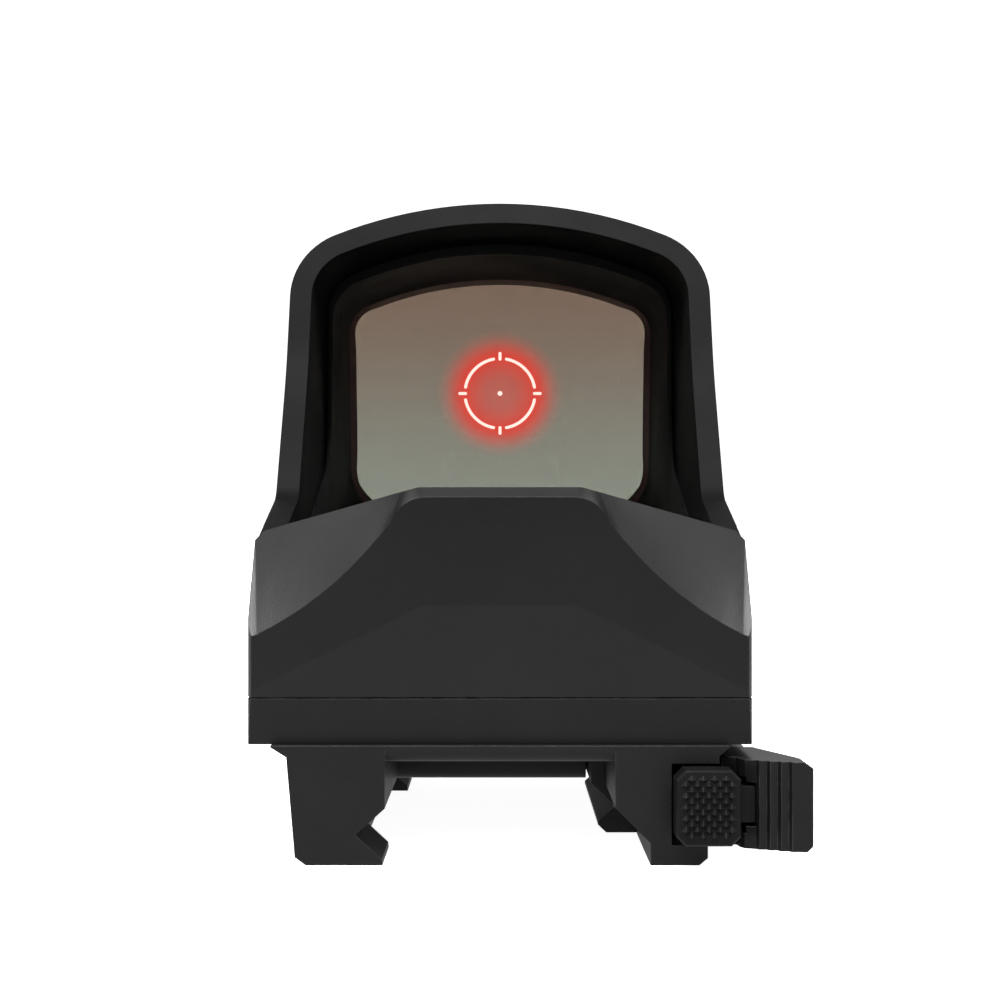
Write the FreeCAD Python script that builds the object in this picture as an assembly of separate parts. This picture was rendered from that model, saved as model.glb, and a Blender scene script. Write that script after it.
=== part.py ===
"""Open reflex red dot sight on a quick-release rail clamp, as separate parts.

Frame, in millimetres: +Y forward along the line of sight, +X to the user's right, +Z up.
The origin is on the centre line, at the recoil lug's middle, level with the clamp's undersides.
Each function below makes one piece, and the table at the end writes one STEP file per node.
"""

import os
from math import atan2, cos, pi, radians, sin, sqrt, tan

import FreeCAD, Part

V = FreeCAD.Vector

# ---- Driving dimensions ------------------------------------------------------------------------
Y_REAR, Y_FRONT = -24.5, 59.5          # ends of the sight body
BODY_HALF = 19.1                       # half width of the body
Z_PLATE, Z_SEAM = 8.97, 12.5           # underside and top of the bottom plate
GASKET = 0.4                           # base gasket's thickness
SEAM_LINE = 0.12                       # the shadow line round the joint of plate and housing
Z_RIDGE, RIDGE_HALF = 28.4, 6.2        # flat top of the rear hump
Z_SIDE = 24.35                         # top of the hump's side walls
Z_FLOOR = 20.0                         # floor between the hump and the lens
Z_RAIL_TOP = 25.0                      # side rails that the hood is screwed to
RAIL_INNER = 14.2                      # half width between the rails
HUMP_FRONT = 1.0                       # where the hump's front face meets its ridge

HOOD_HALF, HOOD_TOP, HOOD_WALL = 19.5, 55.9, 2.0
HOOD_ARC, HOOD_CORNER = 39.5, 6.5      # radii of its roof and its shoulders

LENS_TILT = 10.0                       # top leans to the rear, which sends the emitter's light to the eye
LENS_Y, LENS_Z = 48.5, 39.4            # middle of the glass
WINDOW_HALF, WINDOW_LOW, WINDOW_HIGH = 15.75, -12.75, 12.75   # clear opening, in the glass's own plane
GLASS_LIP, BEVEL = 1.25, 0.65           # how far the glass and the gasket's bevel run beyond it
GLASS_RADIUS, ELEMENT = 110.0, 1.6     # mirror surface's radius, each element's thickness
CEMENT = 0.02                          # half the gap that the clear cement fills

EMITTER_Y, EMITTER_Z = -4.0, 20.8      # middle of the emitter block

MOUNT_REAR, MOUNT_FRONT = -24.5, 25.5
CHANNEL_HALF, Z_CHANNEL = 8.66, 7.7    # walls and roof of the channel for a 21.2 mm accessory rail
V_TOP, V_APEX_X, V_APEX_Z = 4.25, 10.87, 2.27   # the fixed jaw's groove
LIP_X, LIP_Z = 8.86, 0.42              # tip of the fixed jaw's lip
REAR_LIP_END, FRONT_LIP_START = -16.0, 16.6
FOOT_END, FRONT_FOOT = -9.3, 16.6      # gap in the right side that the moving jaw works in
RECESS_X, Z_RECESS = 12.88, 1.5        # pocket for the lever
BROW_END, Z_BROW = -21.2, 7.62         # the pocket's lower ceiling at its rear end

PIVOT_X, PIVOT_Y = 16.1, 4.0
PIN_R = 1.25
JAW_INNER, JAW_OUT = 7.5, 11.8         # jaw's inner and outer faces, with the lever closed
JAW_TRAVEL, LEVER_SWING = 2.0, 105.0   # the cam moves the jaw this far over this swing, in degrees
CAM_CLEAR = 0.03
CAM_RATE = JAW_TRAVEL / radians(LEVER_SWING)
LEVER_LOW, LEVER_HIGH = 1.6, 7.8
PAD_LOW, PAD_HIGH = 1.38, 8.02         # the finger pad stands a little proud of the lever
LOCK_TRAVEL = 1.5                      # the lock button's press

BUTTON_Z, BUTTON_YS = 18.6, {"brightness_up_button": -6.0, "brightness_down_button": -15.6}
BUTTON_R = 3.7
TRAY_Y0, TRAY_Y1, TRAY_Z0, TRAY_Z1 = 13.0, 35.0, 13.9, 17.9
TRAY_MID = (TRAY_Y0 + TRAY_Y1) / 2
CELL_R, CELL_T = 10.0, 3.2             # a 20 mm coin cell
RUN = 0.02                             # radial gap round a fixed screw or pin


# ---- Helpers -----------------------------------------------------------------------------------
def box(x0, x1, y0, y1, z0, z1):
    return Part.makeBox(x1 - x0, y1 - y0, z1 - z0, V(x0, y0, z0))


def rod(r, start, end):
    a, b = V(*start), V(*end)
    return Part.makeCylinder(r, (b - a).Length, a, b - a)


def cone(r0, r1, start, end):
    a, b = V(*start), V(*end)
    return Part.makeCone(r0, r1, (b - a).Length, a, b - a)


def fuse(first, *others):
    made = first.multiFuse(list(others)) if others else first
    return made.removeSplitter()


def cut(shape, *tools):
    for tool in tools:
        shape = shape.cut(tool)
    return shape


def mirror_x(shape):
    return shape.mirror(V(0, 0, 0), V(1, 0, 0))


def path_edges(points, place):
    """Edges of a closed outline. A point is (a, b), or (a, b, r) for a corner rounded to radius r."""
    ends = []
    for i, p in enumerate(points):
        here = V(p[0], p[1], 0)
        before = V(*points[i - 1][:2], 0) - here
        after = V(*points[(i + 1) % len(points)][:2], 0) - here
        before.normalize()
        after.normalize()
        if len(p) < 3:
            ends.append((here, None, here))
            continue
        half = before.getAngle(after) / 2
        reach = p[2] / tan(half)
        inward = before + after
        inward.normalize()
        middle = here + inward * (p[2] / sin(half) - p[2])
        ends.append((here + before * reach, middle, here + after * reach))
    edges = []
    for i, (start, middle, end) in enumerate(ends):
        if middle is not None:
            edges.append(Part.Arc(place(start), place(middle), place(end)).toShape())
        nxt = ends[(i + 1) % len(ends)][0]
        if (nxt - end).Length > 1e-6:
            edges.append(Part.LineSegment(place(end), place(nxt)).toShape())
    return edges


def prism(points, plane, low, high):
    """A closed outline in plane "xy", "xz" or "yz", pulled from low to high along the third axis."""
    place = {
        "xy": lambda p: V(p.x, p.y, low),
        "xz": lambda p: V(p.x, low, p.y),
        "yz": lambda p: V(low, p.x, p.y),
    }[plane]
    pull = {"xy": V(0, 0, 1), "xz": V(0, 1, 0), "yz": V(1, 0, 0)}[plane] * (high - low)
    return Part.Face(Part.Wire(path_edges(points, place))).extrude(pull)


def arch_wire(half, low, top, arc, corner, foot, y):
    """Outline in the XZ plane: straight sides, a roof of radius arc, and rounded corners."""
    rise = top - arc
    knee_z = rise + sqrt((arc - corner) ** 2 - (half - corner) ** 2)
    toward = V(half - corner, 0, knee_z - rise)
    toward.normalize()
    tangent = V(0, 0, rise) + toward * arc
    diagonal = V(1, 0, 0) + toward
    diagonal.normalize()
    knee = V(half - corner, 0, knee_z) + diagonal * corner
    sill = V(half - foot * (1 - sqrt(0.5)), 0, low + foot * (1 - sqrt(0.5)))

    def at(p, side):
        return V(side * p.x, y, p.z)

    edges = [Part.Arc(at(tangent, 1), V(0, y, top), at(tangent, -1)).toShape()]
    edges.append(Part.Arc(at(tangent, -1), at(knee, -1), V(-half, y, knee_z)).toShape())
    edges.append(Part.LineSegment(V(-half, y, knee_z), V(-half, y, low + foot)).toShape())
    edges.append(Part.Arc(V(-half, y, low + foot), at(sill, -1), V(-half + foot, y, low)).toShape())
    edges.append(Part.LineSegment(V(-half + foot, y, low), V(half - foot, y, low)).toShape())
    edges.append(Part.Arc(V(half - foot, y, low), at(sill, 1), V(half, y, low + foot)).toShape())
    edges.append(Part.LineSegment(V(half, y, low + foot), V(half, y, knee_z)).toShape())
    edges.append(Part.Arc(V(half, y, knee_z), at(knee, 1), at(tangent, 1)).toShape())
    return Part.Wire(edges)


def arch(half, low, top, arc, corner, foot, y0, y1):
    return Part.Face(arch_wire(half, low, top, arc, corner, foot, y0)).extrude(V(0, y1 - y0, 0))


def tilted(shape):
    """Turns a shape made round the origin, facing Y, into the glass's leaning plane."""
    shape = shape.copy()
    shape.rotate(V(0, 0, 0), V(1, 0, 0), LENS_TILT)
    shape.translate(V(0, LENS_Y, LENS_Z))
    return shape


def screw(head_r, shank_r, head_at, tip, countersunk=True, head_h=1.2, drive=0.8):
    """A machine screw along an axis line, with a hexagon socket."""
    a, b = V(*head_at), V(*tip)
    along = b - a
    along.normalize()
    neck = a + along * head_h
    if countersunk:
        head = Part.makeCone(head_r, shank_r, head_h, a, along)
    else:
        head = Part.makeCylinder(head_r, head_h, a, along)
    shank = Part.makeCylinder(shank_r, (b - neck).Length, neck, along)
    socket = hexagon(drive, a, along, head_h * 0.6)
    return fuse(head, shank).cut(socket)


def hexagon(r, start, along, depth):
    side = V(0, 0, 1) if abs(along.z) < 0.9 else V(1, 0, 0)
    other = along.cross(side)
    ring = [start + side * (r * cos(k * pi / 3)) + other * (r * sin(k * pi / 3)) for k in range(7)]
    return Part.Face(Part.makePolygon(ring)).extrude(along * depth)


def screw_hole(head_r, shank_r, head_at, tip, countersunk=True, head_h=1.2):
    """The room a screw needs, a little wider than the screw all round."""
    a, b = V(*head_at), V(*tip)
    along = b - a
    along.normalize()
    neck = a + along * head_h
    if countersunk:
        seat = Part.makeCone(head_r + RUN, shank_r + RUN, head_h, a, along)
    else:
        seat = Part.makeCylinder(head_r + 0.1, head_h, a, along)
    outside = Part.makeCylinder(head_r + 0.1, 6, a - along * 6, along)
    shank = Part.makeCylinder(shank_r + RUN, (b - neck).Length + 0.3, neck, along)
    return seat.fuse(shank).fuse(outside)


def spring(wire_r, coil_r, start, end, turns):
    """A compression spring: round wire on a helix, from start to end."""
    a, b = V(*start), V(*end)
    height = (b - a).Length - 2 * wire_r
    helix = Part.makeHelix(height / turns, height, coil_r)
    profile = Part.Wire(Part.makeCircle(wire_r, V(coil_r, 0, 0), V(0, 1, 0)))
    made = Part.Wire(helix.Edges).makePipeShell([profile], True, True)
    made.translate(V(0, 0, wire_r))
    made.Placement = FreeCAD.Placement(a, FreeCAD.Rotation(V(0, 0, 1), b - a)).multiply(made.Placement)
    return made


def ring(outer, inner, start, end):
    return rod(outer, start, end).cut(rod(inner, start, end))


# ---- Sight body --------------------------------------------------------------------------------
def plan_outline(grow=0.0):
    """The body's outline from above, with tight rear corners and softer front ones."""
    x, y0, y1 = BODY_HALF + grow, Y_REAR - grow, Y_FRONT + grow
    return [(-x, y0, 1.6), (x, y0, 1.6), (x, y1, 5.0), (-x, y1, 5.0)]


REAR_SIDE_TURN, REAR_UNDERCUT = 0.045, 0.09  # slopes of the rear face's three shallow facets
REAR_BREAK_X, REAR_BREAK_Z = 5.8, 19.5       # where those facets meet


def rear_facets(inset=0.0):
    """Wedges that turn the rear face's sides, and its lower part, slightly forward."""
    reach = BODY_HALF + 2
    face = Y_REAR + inset
    behind = face - 5
    side_y = face + REAR_SIDE_TURN * (reach - REAR_BREAK_X)
    side = prism([(REAR_BREAK_X, face), (reach, side_y), (reach, behind), (REAR_BREAK_X, behind)],
                 "xy", 0, 40)
    low_y = face + REAR_UNDERCUT * REAR_BREAK_Z
    low = prism([(face, REAR_BREAK_Z), (low_y, 0), (behind, 0), (behind, REAR_BREAK_Z)], "yz", -reach, reach)
    return [side, mirror_x(side), low]


def shoulder_cutters():
    """Solids that carve the ridge's chamfer and the hollowed shoulders beside it."""
    near_y, far_y, side_far = Y_REAR - 0.1, Y_REAR + 1.5, Y_REAR + 6.3
    ridge = (V(-5.4, near_y, 27.6), V(5.4, near_y, 27.6))
    ridge_far = (V(-RIDGE_HALF, far_y, Z_RIDGE), V(RIDGE_HALF, far_y, Z_RIDGE))
    pairs = [(Part.LineSegment(*ridge), Part.LineSegment(*ridge_far))]
    bend_far = V(7.6, far_y + 0.5, 28.02)
    pairs.append((Part.Arc(ridge[1], V(7.35, near_y + 0.05, 26.95), V(8.3, near_y + 0.1, 25.6)),
                  Part.LineSegment(ridge_far[1], bend_far)))
    corner, corner_far = V(18.3, near_y + 0.5, 17.05), V(19.1, side_far - 0.05, 24.87)
    pairs.append((Part.Arc(V(8.3, near_y + 0.1, 25.6), V(12.0, near_y + 0.25, 21.4), corner),
                  Part.LineSegment(bend_far, corner_far)))
    pairs.append((Part.Arc(corner, V(18.9, near_y + 0.75, 17.25), V(19.2, near_y + 1.0, 18.1)),
                  Part.LineSegment(corner_far, V(19.2, side_far, 24.84))))
    cutters = []
    for near, far in pairs:
        sheet = Part.makeRuledSurface(near.toShape(), far.toShape())
        cutters.append(sheet.extrude(V(0, 0, 16)))
    behind = box(-22, 22, Y_REAR - 4, near_y, Z_RIDGE - 0.5, 45)
    return cutters + [mirror_x(c) for c in cutters[1:]] + [behind]


def hump_profile():
    return [(-BODY_HALF, Z_SEAM), (BODY_HALF, Z_SEAM), (BODY_HALF, Z_SIDE), (18.4, 25.08),
            (RIDGE_HALF, Z_RIDGE), (-RIDGE_HALF, Z_RIDGE), (-18.4, 25.08), (-BODY_HALF, Z_SIDE)]


def light_axis(distance):
    """A point on the emitter's beam, which climbs towards the middle of the glass."""
    rise = atan2(LENS_Z - EMITTER_Z, LENS_Y - EMITTER_Y)
    return (0, EMITTER_Y + distance * cos(rise), EMITTER_Z + distance * sin(rise))


def hood_profile():
    """The hood from the side: a leaning rear edge that sweeps back at its foot, and stepped skirts."""
    return [(15.9, 57.2), (7.9, 39.5, 30.0), (-0.6, 27.8, 3.0), (-13.2, 24.5), (-12.6, 23.5),
            (2.5, 23.5, 2.0), (6.6, 19.2, 2.0), (58.6, 19.2, 0.8), (53.7, 57.2)]


def hood_room(grow):
    """The space between the skirts' inner faces and the outside, where the body is cut back."""
    inner = HOOD_HALF - HOOD_WALL - grow
    side = prism([(-12.95, 40), (-13.25, 24.5), (-12.6, 23.5 - grow), (2.5, 23.5 - grow, 2.0),
                  (6.6, 19.2 - grow, 2.0), (70, 19.2 - grow), (70, 40)], "yz", inner, 25)
    return [side, mirror_x(side)]


def tray_cavity():
    return box(-4.6, 25, TRAY_Y0 - 0.05, TRAY_Y1 + 0.05, TRAY_Z0 - 0.05, TRAY_Z1 + 0.05)


TRAY_FACE = dict(y0=TRAY_Y0 - 4.6, y1=TRAY_Y1 + 4.6, z0=13.35, z1=18.65, x0=17.6)
TRAY_SCREW_YS = (TRAY_Y0 - 2.3, TRAY_Y1 + 2.3)
TRAY_SCREW_Z = (TRAY_FACE["z0"] + TRAY_FACE["z1"]) / 2


def tray_face(grow, x1):
    f = TRAY_FACE
    corner = 1.6
    return prism([(f["y0"] - grow, f["z0"] - grow, corner), (f["y1"] + grow, f["z0"] - grow, corner),
                  (f["y1"] + grow, f["z1"] + grow, corner), (f["y0"] - grow, f["z1"] + grow, corner)],
                 "yz", f["x0"] - grow, x1)


ADJUST_R, ADJUST_NECK, PLUNGER_R = 3.1, 1.5, 0.82     # a dial's head and neck, and its plunger
WINDAGE_Z = EMITTER_Z - 1.2
ELEVATION_NECK, WINDAGE_NECK = 25.85, 14.0
BOARD_TOP = 14.4
BOARD_SCREWS = ((-12.0, -18.3), (12.0, -18.3), (11.6, 7.4))
GUIDE_YS, GUIDE_Z = (-8.0, -0.6), 17.65
SILL = -4.6                            # plane of the sill that the lens frame stands against
WINDOW_AT = 5.7                        # distance of the emitter's window along the beam
HOOD_SCREW_SPOTS = ((13.0, 22.2), (52.5, 22.6))
REAR_PLATE_SCREWS = ((16.4, -21.2), (-16.4, -21.2))
FRONT_PLATE_SCREWS = ((14.0, 54.0), (-14.0, 54.0))


def main_housing():
    plan = prism(plan_outline(), "xy", Z_SEAM, 40)
    hump = prism(hump_profile(), "xz", Y_REAR - 1, HUMP_FRONT + 12).common(plan)
    front_face = prism([(HUMP_FRONT, Z_RIDGE + 1), (HUMP_FRONT + 3.2, Z_FLOOR, 1.5), (20, Z_FLOOR), (20, 40),
                        (HUMP_FRONT, 40)], "yz", -RAIL_INNER, RAIL_INNER)
    rail_slope = prism([(-9.0, 40), (-9.0, 25.6), (-2.0, Z_RAIL_TOP, 3.0), (20, Z_RAIL_TOP), (20, 40)],
                       "yz", RAIL_INNER - 1, 25)
    hump = cut(hump, front_face, rail_slope, mirror_x(rail_slope))
    base = box(-25, 25, 8, Y_FRONT + 5, Z_SEAM, Z_RAIL_TOP).common(plan)
    trough = box(-RAIL_INNER, RAIL_INNER, -5, 42.0, Z_FLOOR, 45)
    body = fuse(hump, base.cut(trough))
    body = cut(body, *shoulder_cutters(), *rear_facets(), *hood_room(0.03))
    # The sill behind and under the glass leans with it.
    body = cut(body, tilted(box(-25, 25, SILL, 30, -60, 40)).common(box(-25, 25, 30, 90, Z_FLOOR, 60)))
    body = cut(body, box(-14.6, 14.6, Y_REAR + 3.4, 10.5, Z_SEAM - 1, 16.4))
    body = cut(body, box(-8.5, 8.5, -9.2, 0.6, 16, 25.4))
    body = cut(body, box(-17.1, -14, -20.0, -1.2, 14.4, 22.8))
    for x, y in BOARD_SCREWS:
        boss = rod(1.7, (x, y, BOARD_TOP), (x, y, 17)).cut(rod(0.7 + RUN, (x, y, BOARD_TOP - 1), (x, y, 18)))
        body = fuse(body.cut(rod(0.7 + RUN, (x, y, 15), (x, y, 18.6))), boss)
    body = cut(body, box(-12, 8, 10.0, 12.0, Z_SEAM - 1, 18.0), box(2.9, 6.1, 11, 13.5, 17.5, 17.95))
    body = cut(body, box(-5.2, -4.5, 11, 26, 14.6, 16.4))
    body = cut(body, tray_cavity(), tray_face(0.06, 25))
    body = cut(body, rod(2.2, light_axis(2), light_axis(14)),
               rod(2.9 + RUN, light_axis(WINDOW_AT), light_axis(14)))
    for y in GUIDE_YS:
        body = cut(body, rod(0.75 + RUN, (-10, y, GUIDE_Z), (10, y, GUIDE_Z)),
                   box(-10, 10, y - 0.75 - RUN, y + 0.75 + RUN, 16, GUIDE_Z))
    body = cut(body, box(-5.3, 5.3, -21.3, -10.3, Z_RIDGE - 1.2, 40))
    up, out = V(0, 0, 1), V(1, 0, 0)
    for foot, along, depth, neck in ((V(0, EMITTER_Y, 0), up, Z_RIDGE, ELEVATION_NECK),
                                     (V(0, EMITTER_Y, WINDAGE_Z), out, BODY_HALF, WINDAGE_NECK)):
        body = cut(body, Part.makeCylinder(ADJUST_R + 0.05, 8, foot + along * (depth - 1.7), along),
                   Part.makeCylinder(ADJUST_NECK + RUN, 12, foot + along * neck, along),
                   Part.makeCylinder(PLUNGER_R + 0.05, 12, foot + along * (neck - 6), along))
    for y in BUTTON_YS.values():
        body = cut(body, rod(BUTTON_R + 0.1, (-25, y, BUTTON_Z), (-16, y, BUTTON_Z)))
    for line in plate_screw_lines():
        body = cut(body, screw_hole(*line))
    body = cut(body, seam_line(Z_SEAM, Z_SEAM + SEAM_LINE / 2))
    body = cut(body, prism([(Y_FRONT - 1.8, Z_FLOOR), (Y_FRONT + 1, Z_FLOOR - 3.6), (Y_FRONT + 1, Z_FLOOR)],
                           "yz", -25, 25))
    for y in TRAY_SCREW_YS:
        body = cut(body, rod(0.8 + RUN, (12.4, y, TRAY_SCREW_Z), (20, y, TRAY_SCREW_Z)))
    for side in (-1, 1):
        for y, z in HOOD_SCREW_SPOTS:
            body = cut(body, rod(1.0 + RUN, (side * 13, y, z), (side * 25, y, z)))
    return body


def seam_line(low, high):
    """A shallow groove round the outside, where the plate and the housing meet."""
    core = cut(prism(plan_outline(-SEAM_LINE), "xy", low, high), *rear_facets(SEAM_LINE))
    return prism(plan_outline(1), "xy", low, high).cut(core)


def gasket_ring(grow, low, high):
    """The base gasket's outline round the electronics, grown both ways."""
    x1, y0, y1 = 17.6 + grow, -22.9 - grow, 15.2 + grow
    outer = prism([(-x1, y0, 1.4), (x1, y0, 1.4), (x1, y1, 1.4), (-x1, y1, 1.4)], "xy", low, high)
    x1, y0, y1 = 15.0 - grow, -21.7 + grow, 13.0 - grow
    inner = prism([(-x1, y0, 0.6), (x1, y0, 0.6), (x1, y1, 0.6), (-x1, y1, 0.6)], "xy", low - 1, high + 1)
    return outer.cut(inner)


def bottom_plate():
    plate = prism(plan_outline(), "xy", Z_PLATE, Z_SEAM)
    plate = cut(plate, *rear_facets(), seam_line(Z_SEAM - SEAM_LINE / 2, Z_SEAM))
    plate = plate.cut(gasket_ring(RUN, Z_SEAM - GASKET, Z_SEAM + 1))
    for line in plate_screw_lines():
        plate = cut(plate, screw_hole(*line))
    for line in mount_screw_lines():
        plate = cut(plate, screw_hole(*line))
    return plate


def base_gasket():
    seal = gasket_ring(0, Z_SEAM - GASKET, Z_SEAM)
    for line in plate_screw_lines():
        seal = seal.cut(screw_hole(*line))
    return seal


MOUNT_SCREWS = ((-5.0, -17.5), (5.0, -17.5), (-5.0, 19.5), (5.0, 19.5))


def plate_screw_lines():
    """Head radius, shank radius, head and tip of each screw that holds the bottom plate on."""
    rear = [(1.45, 0.8, (x, y, Z_PLATE + 0.1), (x, y, 17.0)) for x, y in REAR_PLATE_SCREWS]
    front = [(1.9, 1.0, (x, y, Z_PLATE + 0.1), (x, y, 18.6)) for x, y in FRONT_PLATE_SCREWS]
    return rear + front


def plate_screws():
    return [screw(*line) for line in plate_screw_lines()]


def mount_screw_lines():
    """The same, for each screw that holds the clamp to the bottom plate."""
    return [(2.3, 1.25, (x, y, Z_CHANNEL + 0.05), (x, y, 12.0)) for x, y in MOUNT_SCREWS]


def mount_screws():
    return [screw(*line, drive=1.0) for line in mount_screw_lines()]


# ---- Hood, frame and glass ---------------------------------------------------------------------
def hood():
    outer = arch(HOOD_HALF, 5, HOOD_TOP, HOOD_ARC, HOOD_CORNER, 1, -20, 65)
    inner = arch(HOOD_HALF - HOOD_WALL, 0, HOOD_TOP - HOOD_WALL, HOOD_ARC - HOOD_WALL,
                 HOOD_CORNER - HOOD_WALL, 1, -21, 66)
    shell = outer.cut(inner).common(prism(hood_profile(), "yz", -25, 25))
    for side in (-1, 1):
        for y, z in HOOD_SCREW_SPOTS:
            shell = shell.cut(screw_hole(1.9, 1.0, (side * (HOOD_HALF - 0.1), y, z), (side * 14.5, y, z)))
    return shell


def hood_screws():
    return [screw(1.9, 1.0, (side * (HOOD_HALF - 0.1), y, z), (side * 14.5, y, z))
            for side in (-1, 1) for y, z in HOOD_SCREW_SPOTS]


def window_arch(grow, y0, y1):
    """The clear opening's shape, grown all round, as a bar across the glass's plane."""
    face = Part.Face(window_wire(grow, y0))
    return tilted(face.extrude(V(0, y1 - y0, 0)))


def window_wire(grow, y):
    return arch_wire(WINDOW_HALF + grow, WINDOW_LOW - grow, WINDOW_HIGH + grow, 36.9 + grow, 2.9 + grow,
                     5.5 + grow, y)


def ball(radius):
    """A sphere about the mirror surface's centre of curvature."""
    return tilted(Part.makeSphere(radius, V(0, -GLASS_RADIUS, 0)))


def on_plane(z, offset):
    """Where a plane parallel to the glass, offset forward, crosses height z."""
    lean = radians(LENS_TILT)
    return LENS_Y + (LENS_Z - z) * tan(lean) + offset / cos(lean)


SEAT = -3.9                            # the frame's lip, behind the glass
RETAINER_FRONT = 2.4


def lens_frame():
    gap = 0.03
    thick = HOOD_WALL + gap
    outer = arch(HOOD_HALF - thick, Z_FLOOR + gap, HOOD_TOP - thick, HOOD_ARC - thick, HOOD_CORNER - thick,
                 0.4, 5, 60)
    low, step = Z_FLOOR + gap, Z_RAIL_TOP + gap
    side = prism([(27.5, 57.2), (26.2, 31.4, 8.0), (7.5, 25.6), (7.5, step),
                  (on_plane(step, SILL + gap), step), (on_plane(low, SILL + gap), low), (57.4, low),
                  (52.6, 57.2)], "yz", -25, 25)
    rear = arch_wire(17.35, 15, 53.75, 37.35, 4.35, 5, 9)
    window = tilted(window_wire(BEVEL, SEAT - 0.5))
    taper = Part.makeLoft([rear, window], True, True)
    frame = outer.common(side)
    frame = cut(frame, taper, window_arch(BEVEL, SEAT - 0.6, 40), window_arch(GLASS_LIP + 0.03, SEAT, 40))
    # Ahead of the retainer the opening widens, and its foot runs level, so that neither narrows the view.
    ahead = window_wire(GLASS_LIP + 0.03, RETAINER_FRONT)
    flare = Part.makeLoft([ahead, window_wire(GLASS_LIP + 0.2, RETAINER_FRONT + 9)], True, True)
    frame = cut(frame, tilted(flare), tilted(Part.Face(ahead)).extrude(V(0, 20, 0)))
    # The outside of the rear edge is set back, which leaves a shadow line inside the hood.
    edge = side.cut(side.translated(V(0, 0.8, 0)))
    core = arch(17.25, 0, 53.65, 37.25, 4.25, 0.4, 5, 60)
    frame = frame.cut(edge.cut(core))
    for y, z in HOOD_SCREW_SPOTS[1:]:
        for s in (-1, 1):
            frame = frame.cut(rod(1.0 + RUN, (s * 14.2, y, z), (s * 25, y, z)))
    return frame


def rear_element():
    return window_arch(GLASS_LIP, -8, 8).common(ball(GLASS_RADIUS - CEMENT).cut(ball(GLASS_RADIUS - ELEMENT)))


def front_element():
    return window_arch(GLASS_LIP, -8, 8).common(ball(GLASS_RADIUS + ELEMENT).cut(ball(GLASS_RADIUS + CEMENT)))


def lens_gasket():
    """A seal between the frame's lip and the glass, bevelled inwards all round."""
    bevel = Part.makeLoft([tilted(window_wire(BEVEL, SEAT)), tilted(window_wire(0, SEAT + 1.0))], True, True)
    ring_bar = window_arch(GLASS_LIP, SEAT, 4).cut(bevel).cut(window_arch(0, SEAT + 0.99, 5))
    return ring_bar.common(ball(GLASS_RADIUS - ELEMENT))


def lens_retainer():
    """A ring that holds the glass in from the front, opening out forwards."""
    opening = Part.makeLoft([tilted(window_wire(0.85, -3)), tilted(window_wire(0.85, 0.2)),
                             tilted(window_wire(1.05, RETAINER_FRONT + 0.1))], True, True)
    return window_arch(GLASS_LIP, -2.5, RETAINER_FRONT).cut(opening).cut(ball(GLASS_RADIUS + ELEMENT + RUN))


# ---- Emitter, its adjusters and the electronics --------------------------------------------------
def emitter_window():
    return rod(2.9, light_axis(WINDOW_AT), light_axis(WINDOW_AT + 0.8))


def solar_panel():
    return box(-5.1, 5.1, -21.1, -10.5, Z_RIDGE - 1.2, Z_RIDGE - 0.7)


def solar_cover():
    return box(-5.2, 5.2, -21.2, -10.4, Z_RIDGE - 0.7, Z_RIDGE - 0.05)


def dial(at, along, neck_end):
    """A click dial: a slotted head, and a neck bored and threaded for its plunger."""
    turned = FreeCAD.Placement(at, FreeCAD.Rotation(V(0, 0, 1), along))
    head = Part.makeCylinder(ADJUST_R - 0.05, 1.15, at, along)
    slot = Part.makeBox(6.4, 0.9, 0.55, V(-3.2, -0.45, -0.1))
    slot.Placement = turned
    dents = []
    for k in range(12):
        turn = 2 * pi * k / 12
        dent = Part.makeCylinder(0.28, 0.35, V(2.72 * cos(turn), 2.72 * sin(turn), -0.05))
        dent.Placement = turned
        dents.append(dent)
    neck = Part.makeCylinder(ADJUST_NECK, neck_end, at, along)
    bore = Part.makeCylinder(PLUNGER_R + 0.04, neck_end, at + along * 0.75, along)
    return cut(fuse(head, neck), slot, bore, *dents)


def elevation_dial():
    top = Z_RIDGE - 0.1
    return dial(V(0, EMITTER_Y, top), V(0, 0, -1), top - ELEVATION_NECK - 0.05)


def windage_dial():
    out = BODY_HALF - 0.1
    return dial(V(out, EMITTER_Y, WINDAGE_Z), V(-1, 0, 0), out - WINDAGE_NECK - 0.05)


def plunger(tip, end):
    """The dial's threaded plunger, with a rounded tip that rests on what it moves."""
    along = end - tip
    along.normalize()
    shaft = Part.makeCylinder(PLUNGER_R, (end - tip).Length - 0.4, tip + along * 0.4, along)
    return fuse(shaft, Part.makeCone(0.5, PLUNGER_R, 0.4, tip, along))


def elevation_plunger():
    return plunger(V(0, EMITTER_Y, BLOCK_TOP + 0.03), V(0, EMITTER_Y, 26.95))


def windage_plunger():
    return plunger(V(CARRIAGE_END + 0.03, EMITTER_Y, WINDAGE_Z), V(17.55, EMITTER_Y, WINDAGE_Z))


def adjuster_seals():
    top = Z_RIDGE - 1.7
    out = BODY_HALF - 1.7
    return [ring(2.9, ADJUST_NECK + RUN, (0, EMITTER_Y, top), (0, EMITTER_Y, top + 0.44)),
            ring(2.9, ADJUST_NECK + RUN, (out, EMITTER_Y, WINDAGE_Z), (out + 0.44, EMITTER_Y, WINDAGE_Z))]


def guide_rods():
    return [rod(0.75, (-10, y, GUIDE_Z), (10, y, GUIDE_Z)) for y in GUIDE_YS]


POST_X, POST_Y, POST_R = 3.0, -2.0, 0.7
PLATE_Z0, PLATE_Z1 = 16.6, 18.7        # carriage plate
LIFT_SPRING_Y = -6.6
BLOCK_TOP, CARRIAGE_END = 22.6, 6.9      # the faces the two plungers rest on


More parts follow.
